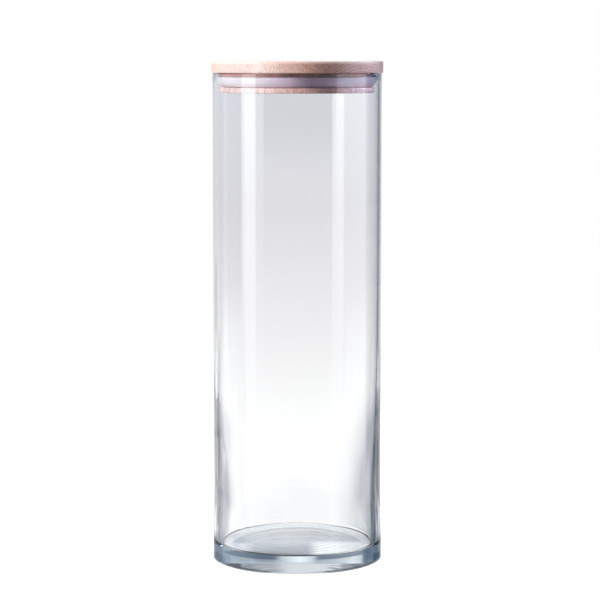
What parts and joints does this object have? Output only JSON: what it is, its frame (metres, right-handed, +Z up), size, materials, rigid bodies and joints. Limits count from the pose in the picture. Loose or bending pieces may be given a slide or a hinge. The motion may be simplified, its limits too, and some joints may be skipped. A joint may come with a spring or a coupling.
{
  "type": "storage canister",
  "caption": "Tall straight-sided clear glass canister with a heavy base, closed by a turned wooden plug lid with a flared silicone sealing ring.",
  "frame": {"origin": "centre of the foot ring, on the surface the canister stands on", "axes": "+Z up along the jar's axis; the part is round, so +X and +Y have no feature, and -Y faces the picture's viewer"},
  "size_m": [0.1014, 0.1014, 0.2973],
  "materials": {
    "glass": "clear, faintly blue in the thick base, fire-polished rim",
    "wood": "fine-grained hardwood, turned, oiled satin",
    "silicone": "translucent milky silicone, satin"
  },
  "bodies": {
    "jar": {"glass_jar": "glass"},
    "seal": {"lid_seal": "silicone"},
    "lid": {"wooden_lid": "wood"}
  },
  "joints": [
    {"name": "lid_lift", "type": "slide", "parent": "jar", "child": "seal", "axis": [0, 0, 1], "range_m": [0, 0.12]},
    {"name": "lid_turn", "type": "hinge", "parent": "seal", "child": "lid", "pos_m": [0, 0, 0.29], "axis": [0, 0, 1], "continuous": true}
  ]
}
